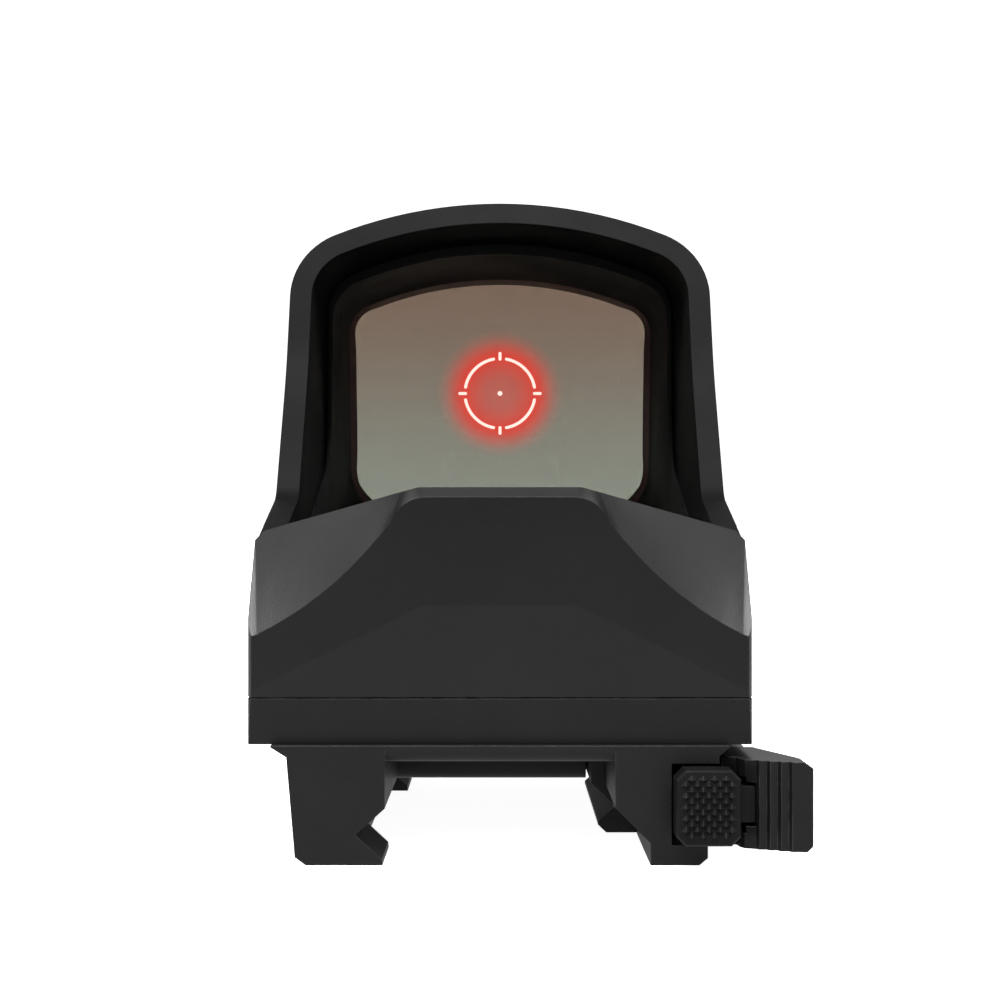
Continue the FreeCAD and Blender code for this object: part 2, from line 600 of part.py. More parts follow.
def emitter_carriage():
    plate = box(-5.2, CARRIAGE_END, -9.0, 0.4, PLATE_Z0, PLATE_Z1)
    wall = box(5.3, CARRIAGE_END, -6.2, -1.8, PLATE_Z0, WINDAGE_Z + 1.9)
    posts = [rod(POST_R, (s * POST_X, POST_Y, PLATE_Z0 + 0.5), (s * POST_X, POST_Y, 24.3)) for s in (-1, 1)]
    made = fuse(plate, wall, *posts)
    for y in GUIDE_YS:
        made = made.cut(rod(0.75 + 0.04, (-9, y, GUIDE_Z), (9, y, GUIDE_Z)))
    return made


def emitter_block():
    made = box(-4.2, 4.2, -8.2, -0.4, 19.3, BLOCK_TOP)
    for s in (-1, 1):
        made = made.cut(rod(POST_R + 0.04, (s * POST_X, POST_Y, 18), (s * POST_X, POST_Y, 24)))
    made = made.cut(rod(1.1, (0, LIFT_SPRING_Y, 18), (0, LIFT_SPRING_Y, 21.8)))
    return made.cut(rod(1.1 + RUN, light_axis(1.9), light_axis(7)))


def emitter_diode():
    dome = Part.makeSphere(0.62, V(*light_axis(3.1)))
    return fuse(rod(1.1, light_axis(1.9), light_axis(3.1)), dome)


def elevation_spring():
    return spring(0.16, 0.78, (0, LIFT_SPRING_Y, PLATE_Z1), (0, LIFT_SPRING_Y, 21.8), 4)


def windage_spring():
    return spring(0.2, 0.85, (-8.5, EMITTER_Y, GUIDE_Z), (-5.2, EMITTER_Y, GUIDE_Z), 4)


def circuit_board():
    board = fuse(box(-13.8, 13.8, -20.4, 9.7, BOARD_TOP - 0.8, BOARD_TOP),
                 box(-11.4, 7.4, 9.0, 11.7, BOARD_TOP - 0.8, BOARD_TOP))
    for x, y in BOARD_SCREWS:
        board = board.cut(rod(0.7 + RUN, (x, y, 10), (x, y, 16)))
    return board


def board_screws():
    return [screw(1.25, 0.7, (x, y, 12.95), (x, y, 18.2), countersunk=False, head_h=0.65, drive=0.5)
            for x, y in BOARD_SCREWS]


def board_parts():
    low = BOARD_TOP
    chips = [box(-10.5, -5.5, -4, 1, low, low + 0.9), box(-3.2, 0.8, -16.5, -12.5, low, low + 1.1),
             box(4.5, 10.5, -14.5, -11.5, low, low + 0.8), box(3.5, 6.5, 2.5, 5.5, low, low + 1.3),
             rod(1.5, (-8.5, -12.5, low), (-8.5, -12.5, low + 1.6))]
    small = [box(-11.5 + 2.1 * k, -10.3 + 2.1 * k, 4.6, 5.3, low, low + 0.55) for k in range(6)]
    return chips + small


def battery_contacts():
    top = fuse(box(3, 6, 10.7, 27, 17.6, 17.85), box(3, 6, 10.7, 10.95, BOARD_TOP, 17.85))
    end = fuse(box(-5.15, -4.9, 10.8, 25.4, 14.7, 16.3), box(-5.15, -3.45, 22.8, 25.2, 15.0, 16.1),
               box(-5.15, -4.9, 10.8, 11.4, BOARD_TOP, 16.3))
    return [top, end]


def switch_board():
    return box(-14.7, -14.0, -19.9, -1.4, 14.6, 22.6)


def dome_switches():
    domes = []
    for y in BUTTON_YS.values():
        cap = Part.makeSphere(5.09, V(-14.7 + 4.59, y, BUTTON_Z))
        domes.append(cap.common(box(-16, -14.7, y - 3, y + 3, BUTTON_Z - 3, BUTTON_Z + 3)))
    return domes


def push_button(y, upright):
    """A brightness button, marked with a sunken minus, or a plus if upright."""
    outside = -BODY_HALF - 0.4
    cap = fuse(rod(BUTTON_R, (outside + 0.4, y, BUTTON_Z), (-17.0, y, BUTTON_Z)),
               cone(BUTTON_R - 0.4, BUTTON_R, (outside, y, BUTTON_Z), (outside + 0.4, y, BUTTON_Z)),
               rod(4.1, (-17.05, y, BUTTON_Z), (-16.4, y, BUTTON_Z)),
               rod(1.2, (-17.0, y, BUTTON_Z), (-15.85, y, BUTTON_Z)))
    cap = cap.cut(box(outside - 1, outside + 0.25, y - 1.8, y + 1.8, BUTTON_Z - 0.35, BUTTON_Z + 0.35))
    if upright:
        cap = cap.cut(box(outside - 1, outside + 0.25, y - 0.35, y + 0.35, BUTTON_Z - 1.8, BUTTON_Z + 1.8))
    return cap


# ---- Battery tray ------------------------------------------------------------------------------
CELL_X = 6.6
NECK = (16.6, 17.4)                    # where the tray's seal sits


def battery_tray():
    body = box(-4.4, TRAY_FACE["x0"] + 0.3, TRAY_Y0, TRAY_Y1, TRAY_Z0, 17.45)
    neck = box(TRAY_FACE["x0"] - 2, TRAY_FACE["x0"] + 0.3, TRAY_Y0, TRAY_Y1, TRAY_Z0, TRAY_Z1)
    made = fuse(body, neck, tray_face(0, BODY_HALF))
    made = made.cut(ring_slot())
    well = rod(CELL_R + 0.05, (CELL_X, TRAY_MID, TRAY_Z0 + 0.35), (CELL_X, TRAY_MID, 20))
    made = made.cut(well.common(box(-10, 16.9, 0, 50, 10, 17.46)))
    made = made.cut(box(-6, -2, TRAY_MID - 2.4, TRAY_MID + 2.4, TRAY_Z0 + 0.35, 20))
    for line in tray_screw_lines():
        made = made.cut(screw_hole(*line, head_h=0.8))
    grip = prism([(TRAY_MID - 7, 15.2, 0.75), (TRAY_MID + 7, 15.2, 0.75), (TRAY_MID + 7, 16.8, 0.75),
                  (TRAY_MID - 7, 16.8, 0.75)], "yz", BODY_HALF - 0.6, 25)
    return made.cut(grip)


def tray_screw_lines():
    """Head radius, shank radius, head and tip of each screw that holds the tray in."""
    return [(1.5, 0.8, (BODY_HALF - 0.1, y, TRAY_SCREW_Z), (12.6, y, TRAY_SCREW_Z)) for y in TRAY_SCREW_YS]


def ring_slot():
    """The groove round the tray's neck."""
    x0, x1 = NECK
    return box(x0, x1, TRAY_Y0 - 1, TRAY_Y1 + 1, 10, 20).cut(
        box(x0, x1, TRAY_Y0 + 0.5, TRAY_Y1 - 0.5, TRAY_Z0 + 0.35, TRAY_Z1 - 0.35))


def tray_seal():
    x0, x1 = NECK
    return box(x0, x1, TRAY_Y0 - 0.03, TRAY_Y1 + 0.03, TRAY_Z0 - 0.03, TRAY_Z1 + 0.03).cut(
        box(x0 - 1, x1 + 1, TRAY_Y0 + 0.5, TRAY_Y1 - 0.5, TRAY_Z0 + 0.35, TRAY_Z1 - 0.35))


def tray_screws():
    return [screw(*line, head_h=0.8, drive=0.6) for line in tray_screw_lines()]


def battery():
    base = TRAY_Z0 + 0.35
    can = rod(CELL_R - 0.02, (CELL_X, TRAY_MID, base + 0.35), (CELL_X, TRAY_MID, base + CELL_T))
    return fuse(can, rod(CELL_R - 1.3, (CELL_X, TRAY_MID, base), (CELL_X, TRAY_MID, base + 1)))


# ---- Rail clamp --------------------------------------------------------------------------------
GUIDE_PIN_Z, GUIDE_PIN_R = 6.0, 1.0
SPRING_BORE, SPRING_SEAT = 1.8, 1.0
LUG_HALF, LUG_Z = 2.5, 3.6


def mount_base():
    outline = [(-17.25, Z_PLATE), (-17.25, 8.85), (-16.05, 8.1), (-15.4, 0.6), (-14.55, 0.0), (14.95, 0.0),
               (15.6, 0.55), (15.6, Z_RECESS), (RECESS_X, Z_RECESS), (RECESS_X, Z_BROW), (16.45, Z_BROW),
               (16.45, 8.2), (17.25, 8.8), (17.25, Z_PLATE)]
    block = prism(outline, "xz", MOUNT_REAR, MOUNT_FRONT)
    # The channel's rear end has a rounded roof edge.
    back, roof = MOUNT_REAR + 1.1, Z_CHANNEL + 1.1
    rear_edge = prism([(back - 2.1, roof - 2.1), (back, roof - 2.1), (back, roof), (back - 2.1, roof)],
                      "yz", -CHANNEL_HALF, CHANNEL_HALF)
    rear_edge = rear_edge.cut(rod(1.1, (-30, back, roof), (30, back, roof)))
    channel = box(-CHANNEL_HALF, CHANNEL_HALF, MOUNT_REAR - 1, MOUNT_FRONT + 1, -1, Z_CHANNEL)
    groove = prism([(-CHANNEL_HALF + 0.01, V_TOP), (-V_APEX_X, V_APEX_Z), (-LIP_X, LIP_Z), (-8.7, -1),
                    (-CHANNEL_HALF + 0.01, -1)], "xz", MOUNT_REAR - 1, MOUNT_FRONT + 1)
    plain = box(-V_APEX_X, -CHANNEL_HALF, REAR_LIP_END, FRONT_LIP_START, -1, V_TOP)
    knee = V_TOP + 0.06
    right = prism([(CHANNEL_HALF - 0.01, knee), (11.3, knee - 11.3 + CHANNEL_HALF), (11.3, -1),
                   (CHANNEL_HALF - 0.01, -1)], "xz", MOUNT_REAR - 1, MOUNT_FRONT + 1)
    block = cut(block, channel, groove, right, plain)
    gap = fuse(box(8, 30, FOOT_END, FRONT_FOOT, Z_RECESS, Z_CHANNEL),
               box(11, 30, FOOT_END, FRONT_FOOT, Z_RECESS, 7.95),
               box(RECESS_X, 30, BROW_END, FRONT_FOOT, Z_RECESS, 7.95),
               box(8, JAW_OUT + JAW_TRAVEL + 0.1, FOOT_END, FRONT_FOOT, -1, Z_RECESS + 1))
    block = block.cut(gap)
    ears = [rod(2.9, (PIVOT_X, PIVOT_Y, 0.1), (PIVOT_X, PIVOT_Y, 1.4)),
            rod(2.9, (PIVOT_X, PIVOT_Y, 7.95), (PIVOT_X, PIVOT_Y, Z_PLATE))]
    ears = [ear.common(box(JAW_OUT + JAW_TRAVEL + 0.1, 30, -20, 30, 0, 10)) for ear in ears]
    lug = prism([(-LUG_HALF, LUG_Z, 1.1), (LUG_HALF, LUG_Z, 1.1), (LUG_HALF, Z_CHANNEL + 0.5),
                 (-LUG_HALF, Z_CHANNEL + 0.5)], "yz", -CHANNEL_HALF - 0.5, JAW_INNER - 0.1)
    block = fuse(block, lug, *ears)
    block = cut(block, rod(GUIDE_PIN_R + 0.05, (-5, 0, GUIDE_PIN_Z), (10, 0, GUIDE_PIN_Z)),
                rod(SPRING_BORE, (SPRING_SEAT, 0, GUIDE_PIN_Z), (10, 0, GUIDE_PIN_Z)),
                rod(PIN_R, (PIVOT_X, PIVOT_Y, 0.1), (PIVOT_X, PIVOT_Y, 9.5)))
    for line in mount_screw_lines():
        block = block.cut(screw_hole(*line))
    notch = box(RECESS_X - NOSE, 20, NOSE_Y - 1.5, NOSE_Y + 1.3 + LOCK_TRAVEL, 2.9, 6.1)
    return cut(block, rear_edge, notch)


def moving_jaw():
    end = 0.05
    outline = [(JAW_INNER, 7.65), (JAW_INNER, 4.2), (9.44, 2.3), (9.44, 2.17), (8.1, 0.96), (8.1, 0.72),
               (8.77, 0.08), (JAW_OUT - 0.4, 0.08), (JAW_OUT, 0.45), (JAW_OUT, 7.65)]
    jaw = prism(outline, "xz", FOOT_END + end, FRONT_FOOT - end)
    return jaw.cut(rod(GUIDE_PIN_R, (7, 0, GUIDE_PIN_Z), (11.2, 0, GUIDE_PIN_Z)))


def jaw_guide_pin():
    return rod(GUIDE_PIN_R, (-3.0, 0, GUIDE_PIN_Z), (11.2, 0, GUIDE_PIN_Z))


def jaw_spring():
    return spring(0.25, 1.4, (SPRING_SEAT, 0, GUIDE_PIN_Z), (JAW_INNER, 0, GUIDE_PIN_Z), 6)


def lever_pin():
    return rod(PIN_R - 0.001, (PIVOT_X, PIVOT_Y, 0.1), (PIVOT_X, PIVOT_Y, Z_PLATE - 0.05))


def cam_point(turn, z):
    """The cam's edge where it touches the jaw once the lever has swung by turn. The face's distance
    from the pivot falls evenly with the swing, so the jaw moves in step with the lever."""
    reach = PIVOT_X - JAW_OUT - CAM_CLEAR - CAM_RATE * turn
    a = pi - turn
    return V(PIVOT_X + reach * cos(a) - CAM_RATE * sin(a), PIVOT_Y + reach * sin(a) + CAM_RATE * cos(a), z)


NOSE, NOSE_Y = 0.6, -14.5              # the lock's nose, and the notch it rests in
SLOT_END = -10.5                       # front end of the lock's slot in the lever
PAD_START, PAD_STEP, PAD_STEPS = 19.1, 0.77, 4     # the pad's saw-tooth ribs
KNURL = 0.42                           # half the diagonal of one point of the lock's knurling


def lever():
    z0, z1 = LEVER_LOW, LEVER_HIGH
    steps = 14
    swing = radians(LEVER_SWING)
    cam = [cam_point(swing * k / steps, z0) for k in range(steps + 1)]
    curve = Part.BSplineCurve()
    curve.interpolate(cam)
    closed, opened = cam[0], cam[-1]
    away = V(sin(pi - swing), -cos(pi - swing), 0)
    tangent = opened + away * 1.5
    rest = [closed, V(PIVOT_X - 3.1, PIVOT_Y - 3.4, z0), V(16.8, PIVOT_Y - 7.4, z0), V(16.8, -22.9, z0),
            V(17.85, -23.4, z0), V(18.0, -24.4, z0), V(18.3, -25.05, z0)]
    slope = -0.48
    for k in range(PAD_STEPS):
        x = PAD_START + PAD_STEP * k
        y = -25.05 + slope * (x - 18.3)
        rest.append(V(x, y, z0))
        rest.append(V(x + 0.18, y - 0.32, z0))
        rest.append(V(x + PAD_STEP * 0.98, y + slope * PAD_STEP * 0.8, z0))
    rest += [V(23.1, -27.0, z0), V(23.25, -26.3, z0), V(20.0, -17.2, z0), V(20.0, PIVOT_Y - 5.0, z0)]
    hub_out = V(PIVOT_X + 2.9, PIVOT_Y - 0.4, z0)
    edges = [curve.toShape()]
    edges += [Part.LineSegment(a, b).toShape() for a, b in zip(rest[:-1], rest[1:])]
    edges.append(Part.Arc(rest[-1], V(PIVOT_X + 3.25, PIVOT_Y - 2.6, z0), hub_out).toShape())
    edges.append(Part.Arc(hub_out, V(PIVOT_X + 2.35, PIVOT_Y + 1.3, z0), tangent).toShape())
    edges.append(Part.LineSegment(tangent, opened).toShape())
    outline = Part.Face(Part.Wire(Part.__sortEdges__(edges)))
    pad = outline.translated(V(0, 0, PAD_LOW - z0)).extrude(V(0, 0, PAD_HIGH - PAD_LOW))
    made = fuse(outline.extrude(V(0, 0, z1 - z0)), pad.common(box(17.0, 26, -30, -16.8, 0, 10)))
    made = made.cut(rod(PIN_R + 0.05, (PIVOT_X, PIVOT_Y, 0), (PIVOT_X, PIVOT_Y, 10)))
    slot = fuse(box(16, 17.6, -30, SLOT_END, 3.1, 6.1), box(17.5, 18.4, -30, SLOT_END, 2.5, 6.7))
    mouth = box(17, 19.1, -30, -22.3, 3.05, 6.35)
    corner = [prism([(22.5, PAD_HIGH), (22.5, 9), (24.3, 9), (24.3, PAD_HIGH - 1.28)], "xz", -30, -10),
              prism([(22.7, PAD_LOW), (22.7, 0), (24.1, 0), (24.1, PAD_LOW + 1.4)], "xz", -30, -10)]
    relief = box(19.2, 26, -16.8, -6.5, z1 - 0.5, z1 + 1)
    return cut(made, slot, mouth, relief, *corner)


def head_wire(inset, y):
    """The lock button's outline: an upright rectangle with its corners cut off."""
    x0, x1, z0, z1 = 12.95 + inset, 17.75 - inset, 1.9 + inset, 7.5 - inset
    c = 0.7 - 0.4 * inset
    corners = [(x0, z0 + c), (x0 + c, z0), (x1 - c, z0), (x1, z0 + c), (x1, z1 - c), (x1 - c, z1),
               (x0 + c, z1), (x0, z1 - c), (x0, z0 + c)]
    return Part.makePolygon([V(x, y, z) for x, z in corners])


HEAD_FACE, HEAD_BEVEL, HEAD_BASE = -27.6, -27.4, -25.0     # the button's rear face, bevel and underside
HEAD_X, HEAD_Z = 15.35, 4.7


def lock_button():
    head = Part.Face(head_wire(0, HEAD_BEVEL)).extrude(V(0, HEAD_BASE - HEAD_BEVEL, 0))
    bevel = Part.makeLoft([head_wire(0, HEAD_BEVEL), head_wire(0.12, HEAD_FACE)], True, True)
    stem = box(14.0, 16.4, -25.4, NOSE_Y + 1.2, 3.1, 6.0)
    wing = box(17.0, 19.05, -25.2, -23.9, 3.35, 6.05)
    nose = prism([(RECESS_X - NOSE + 0.1, NOSE_Y + 1.2), (14.5, NOSE_Y + 1.2), (14.5, NOSE_Y - 1.4),
                  (13.3, NOSE_Y - 1.2), (RECESS_X - NOSE + 0.1, NOSE_Y)], "xy", 3.1, 5.9)
    tongue = fuse(box(16.3, 17.7, -24.5, -15.6, 3.2, 6.0), box(17.6, 18.3, -21.4, -15.6, 2.6, 6.6))
    knurl = []
    for row in range(-5, 6):
        for column in range(-4, 5):
            out, up = KNURL * column, KNURL * row
            if (row + column) % 2 == 0:
                knurl.append(pyramid(HEAD_X + out, HEAD_FACE, HEAD_Z + up, KNURL - 0.01, 0.3))
    return fuse(head, bevel, stem, wing, nose, tongue, *knurl)


def pyramid(x, y, z, half, height):
    """A low diamond point standing on a face that looks to the rear."""
    low = y + 0.05
    base = [V(x - half, low, z), V(x, low, z - half), V(x + half, low, z), V(x, low, z + half)]
    tip = V(x, y - height, z)
    faces = [Part.Face(Part.makePolygon([base[k], base[(k + 1) % 4], tip, base[k]])) for k in range(4)]
    faces.append(Part.Face(Part.makePolygon(base + base[:1])))
    return Part.makeSolid(Part.makeShell(faces))


def lock_spring():
    return spring(0.18, 0.75, (17.4, -15.6, 4.6), (17.4, SLOT_END, 4.6), 6)


# ---- Files -------------------------------------------------------------------------------------
PARTS = {
    "mount_base": mount_base, "mount_screws": mount_screws, "moving_jaw": moving_jaw,
    "jaw_guide_pin": jaw_guide_pin, "jaw_spring": jaw_spring, "lever": lever, "lever_pin": lever_pin,
    "lock_button": lock_button, "lock_spring": lock_spring,
    "bottom_plate": bottom_plate, "plate_screws": plate_screws, "base_gasket": base_gasket,
    "main_housing": main_housing, "hood": hood, "hood_screws": hood_screws, "lens_frame": lens_frame,
    "rear_element": rear_element, "front_element": front_element, "lens_gasket": lens_gasket,
    "lens_retainer": lens_retainer, "emitter_window": emitter_window, "solar_panel": solar_panel,
    "solar_cover": solar_cover, "elevation_dial": elevation_dial, "elevation_plunger": elevation_plunger,
    "windage_dial": windage_dial, "windage_plunger": windage_plunger, "adjuster_seals": adjuster_seals,
    "guide_rods": guide_rods, "emitter_carriage": emitter_carriage, "emitter_block": emitter_block,
    "emitter_diode": emitter_diode, "elevation_spring": elevation_spring, "windage_spring": windage_spring,
    "circuit_board": circuit_board, "board_screws": board_screws, "board_parts": board_parts,
    "battery_contacts": battery_contacts, "switch_board": switch_board,
    "dome_switches": dome_switches, "battery_tray": battery_tray, "tray_seal": tray_seal,
    "tray_screws": tray_screws, "battery": battery,
}

os.makedirs("parts", exist_ok=True)
for name, make in PARTS.items():
    made = make()
    shape = Part.makeCompound(made) if isinstance(made, list) else made
    shape.exportStep("parts/" + name + ".step")
for name, y in BUTTON_YS.items():
    push_button(y, "up" in name).exportStep("parts/" + name + ".step")
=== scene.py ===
"""Studio picture of an open reflex sight on its quick-release clamp. Metres, the CAD's own frame."""

import math

import bmesh
import bpy
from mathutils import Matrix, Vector


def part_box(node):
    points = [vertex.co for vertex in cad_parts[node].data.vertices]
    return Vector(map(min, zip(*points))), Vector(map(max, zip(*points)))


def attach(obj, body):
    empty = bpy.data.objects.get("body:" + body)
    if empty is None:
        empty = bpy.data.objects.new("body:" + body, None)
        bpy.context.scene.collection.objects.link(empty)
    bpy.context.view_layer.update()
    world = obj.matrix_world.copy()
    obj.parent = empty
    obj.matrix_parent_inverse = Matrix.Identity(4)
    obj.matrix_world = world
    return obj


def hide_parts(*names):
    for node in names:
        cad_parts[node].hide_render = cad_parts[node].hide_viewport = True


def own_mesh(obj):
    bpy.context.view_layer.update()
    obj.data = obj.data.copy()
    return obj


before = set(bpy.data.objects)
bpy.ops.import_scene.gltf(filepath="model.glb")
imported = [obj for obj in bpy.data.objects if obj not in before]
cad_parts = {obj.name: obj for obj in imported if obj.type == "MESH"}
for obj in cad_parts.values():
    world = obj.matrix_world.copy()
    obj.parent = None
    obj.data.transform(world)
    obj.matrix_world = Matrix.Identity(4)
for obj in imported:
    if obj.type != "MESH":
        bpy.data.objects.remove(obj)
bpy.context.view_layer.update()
MM = 0.001


# ---- Node helpers ------------------------------------------------------------------------------
class Nodes:
    """A material's node tree, with short calls for the few nodes used here."""

    def __init__(self, name):
        self.material = bpy.data.materials.new(name)
        self.material.use_nodes = True
        self.tree = self.material.node_tree
        self.shader = self.tree.nodes["Principled BSDF"]
        self.coords = self.tree.nodes.new("ShaderNodeTexCoord").outputs["Object"]

    def new(self, kind, **settings):
        node = self.tree.nodes.new(kind)
        for key, value in settings.items():
            setattr(node, key, value)
        return node

    def feed(self, node, socket, value):
        if isinstance(value, bpy.types.NodeSocket):
            self.tree.links.new(value, node.inputs[socket])
        else:
            node.inputs[socket].default_value = value

    def set(self, **values):
        for key, value in values.items():
            self.feed(self.shader, key.replace("_", " "), value)

    def noise(self, scale, detail=3.0, rough=0.55, at=None):
        node = self.new("ShaderNodeTexNoise")
        self.feed(node, "Vector", self.coords if at is None else at)
        self.feed(node, "Scale", scale)
        self.feed(node, "Detail", detail)
        self.feed(node, "Roughness", rough)
        return node.outputs["Fac"]

    def cells(self, scale, feature="F1"):
        node = self.new("ShaderNodeTexVoronoi", feature=feature)
        self.feed(node, "Vector", self.coords)
        self.feed(node, "Scale", scale)
        return node.outputs["Distance"]

    def vector(self, operation, a, b=None):
        """The result of vector maths, which is a number for a dot product or a length."""
        node = self.new("ShaderNodeVectorMath", operation=operation)
        self.feed(node, 0, a)
        if b is not None:
            self.feed(node, 1, b)
        return node.outputs["Value" if operation in ("DOT_PRODUCT", "LENGTH") else "Vector"]

    def true_normal(self):
        return self.new("ShaderNodeNewGeometry").outputs["True Normal"]

    def stretched(self, scale):
        """Object coordinates, scaled along each axis on its own."""
        return self.vector("MULTIPLY", self.coords, scale)

    def axis(self, letter, at=None):
        node = self.new("ShaderNodeSeparateXYZ")
        self.feed(node, 0, self.coords if at is None else at)
        return node.outputs[letter]

    def math(self, operation, a, b=0.0, clamp=False):
        node = self.new("ShaderNodeMath", operation=operation, use_clamp=clamp)
        self.feed(node, 0, a)
        self.feed(node, 1, b)
        return node.outputs[0]

    def span(self, value, low, high, to_low=0.0, to_high=1.0, smooth=False):
        node = self.new("ShaderNodeMapRange", interpolation_type="SMOOTHSTEP" if smooth else "LINEAR")
        self.feed(node, "Value", value)
        sockets = ("From Min", "From Max", "To Min", "To Max")
        for socket, number in zip(sockets, (low, high, to_low, to_high)):
            self.feed(node, socket, number)
        return node.outputs["Result"]

    def blend(self, factor, a, b):
        node = self.new("ShaderNodeMix", data_type="RGBA")
        self.feed(node, 0, factor)
        self.feed(node, 6, (*a, 1.0) if isinstance(a, tuple) else a)
        self.feed(node, 7, (*b, 1.0) if isinstance(b, tuple) else b)
        return node.outputs[2]

    def bump(self, height, distance, strength=1.0, under=None):
        node = self.new("ShaderNodeBump")
        self.feed(node, "Height", height)
        self.feed(node, "Distance", distance)
        self.feed(node, "Strength", strength)
        if under is not None:
            self.feed(node, "Normal", under)
        return node.outputs["Normal"]

    def soft_edges(self, radius):
        node = self.new("ShaderNodeBevel", samples=6)
        self.feed(node, "Radius", radius)
        return node.outputs["Normal"]

    def edge_mask(self, rounded, low=0.004, high=0.12):
        """1 on an edge, where the rounded normal leaves the true one, and 0 on open faces."""
        away = self.math("SUBTRACT", 1.0, self.vector("DOT_PRODUCT", rounded, self.true_normal()))
        return self.span(away, low, high, smooth=True)


def scaled(colour, share):
    """A colour made darker or lighter by one share."""
    return tuple(channel * share for channel in colour)


def coated_metal(name, colour, rough=0.45, grain=7000, grain_height=0.000012, edge=0.00012, wear=0.35,
                 worn=(0.16, 0.16, 0.165), level=0.27):
    """Blasted and anodised metal: a fine matt grain, faint handling marks, and edges rubbed paler."""
    n = Nodes(name)
    rounded = n.soft_edges(edge)
    mask = n.edge_mask(rounded)
    patches = n.noise(140, 4, 0.6)
    rubbed = n.math("MULTIPLY", mask, n.span(n.noise(900, 4, 0.65), 0.38, 0.72))
    clouded = n.blend(n.span(patches, 0.3, 0.75), scaled(colour, 0.86), scaled(colour, 1.16))
    speck = n.span(n.noise(grain * 0.6, 2), 0.62, 0.78)
    speckled = n.blend(n.math("MULTIPLY", speck, 0.35), clouded, scaled(colour, 1.7))
    n.set(Base_Color=n.blend(n.math("MULTIPLY", rubbed, wear), speckled, worn))
    smears = n.noise(60, 5, 0.7, at=n.stretched((1.0, 0.45, 1.6)))
    n.set(Roughness=n.span(smears, 0.3, 0.7, rough - 0.05, rough + 0.08), Specular_IOR_Level=level)
    n.set(Normal=n.bump(n.noise(grain, 2, 0.5), grain_height, 0.6, under=rounded))
    return n.material


HOOD_MIDDLE = (0.0, 0.0, 36 * MM)      # the hood's inner faces look towards this line along Y


def hood_finish():
    """The hood's coating outside; its rear-facing rim is duller and its inner faces are matt, and both
    carry painted shade, coloured darker by the way they face.
    """
    n = Nodes("hood_coating")
    rounded = n.soft_edges(0.00012)
    mask = n.edge_mask(rounded)
    normal = n.true_normal()
    inward = n.vector("MULTIPLY", n.vector("SUBTRACT", HOOD_MIDDLE, n.coords), (1.0, 0.0, 1.0))
    inside = n.span(n.vector("DOT_PRODUCT", n.vector("NORMALIZE", inward), normal), 0.3, 0.45)
    rearward = n.math("MULTIPLY", n.axis("Y", normal), -1.0)
    rim = n.span(rearward, 0.15, 0.24)
    rubbed = n.math("MULTIPLY", mask, n.span(n.noise(900, 4, 0.65), 0.42, 0.74))
    patches = n.span(n.noise(140, 4, 0.6), 0.3, 0.75)
    clouded = n.blend(patches, (0.0068, 0.0068, 0.0070), (0.0090, 0.0089, 0.0092))
    outside = n.blend(n.math("MULTIPLY", rubbed, 0.18), clouded, (0.12, 0.12, 0.122))
    # painted shade: faces that look to the rear are coloured darker
    outside = n.blend(rim, outside, (0.0040, 0.0040, 0.0041))
    smears = n.span(n.noise(60, 5, 0.7, at=n.stretched((1.0, 0.45, 1.6))), 0.3, 0.7, 0.0, 0.12)
    # painted shade: faces that look inward are coloured darker
    n.set(Base_Color=n.blend(inside, outside, (0.0046, 0.0046, 0.0047)))
    n.set(Roughness=n.math("ADD", n.span(inside, 0.0, 1.0, 0.44, 0.72), smears))
    n.set(Specular_IOR_Level=n.span(n.math("MAXIMUM", inside, rim), 0.0, 1.0, 0.26, 0.055))
    n.set(Normal=n.bump(n.noise(5200, 2, 0.5), 0.000012, 0.6, under=rounded))
    return n.material


def bare_steel(name, colour, rough=0.32, along=(1.0, 1.0, 1.0), metallic=1.0):
    """Turned or ground steel: fine lines round the work, and slightly uneven polish."""
    n = Nodes(name)
    rounded = n.soft_edges(0.00005)
    lines = n.noise(2500, 3, 0.6, at=n.stretched(along))
    stain = n.noise(300, 4, 0.6)
    n.set(Base_Color=n.blend(n.span(stain, 0.35, 0.7), scaled(colour, 0.8), colour))
    n.set(Metallic=metallic, Roughness=n.span(lines, 0.3, 0.7, rough - 0.08, rough + 0.12))
    n.set(Normal=n.bump(lines, 0.000006, 0.5, under=rounded))
    return n.material


def rubber(name, colour):
    """Matt moulded rubber with a little dust."""
    n = Nodes(name)
    rounded = n.soft_edges(0.00015)
    dust = n.span(n.noise(1800, 4, 0.65), 0.55, 0.8)
    n.set(Base_Color=n.blend(n.math("MULTIPLY", dust, 0.3), colour, scaled(colour, 2.4)))
    n.set(Roughness=n.span(n.noise(500, 3), 0.3, 0.7, 0.62, 0.8), Specular_IOR_Level=0.3)
    n.set(Normal=n.bump(n.noise(5200, 2), 0.00001, 0.5, under=rounded))
    return n.material


def dress(material, *nodes):
    """Gives CAD nodes a finish."""
    for node in nodes:
        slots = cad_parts[node].data.materials
        slots.clear()
        slots.append(material)


# ---- Materials of the CAD's own nodes ------------------------------------------------------------
BLACK = (0.0050, 0.0050, 0.0052)
dress(coated_metal("housing_anodising", BLACK, rough=0.33, wear=0.2, level=0.33), "main_housing")
dress(coated_metal("plate_anodising", (0.0060, 0.0060, 0.0062), wear=0.2, edge=0.00008), "bottom_plate")
dress(hood_finish(), "hood")
dress(coated_metal("retainer_anodising", (0.0040, 0.0039, 0.0041), rough=0.55, level=0.15, wear=0.15),
      "lens_retainer")
dress(coated_metal("clamp_anodising", (0.0074, 0.0074, 0.0077), rough=0.42, wear=0.28), "mount_base")
dress(coated_metal("lever_anodising", (0.0050, 0.0050, 0.0052), rough=0.35, wear=0.45, level=0.3), "lever")
dress(coated_metal("lock_anodising", (0.0042, 0.0042, 0.0044), rough=0.42, wear=0.3, edge=0.00004,
                   level=0.18), "lock_button")
dress(coated_metal("jaw_blacking", (0.0060, 0.0060, 0.0064), rough=0.4, wear=0.5), "moving_jaw")
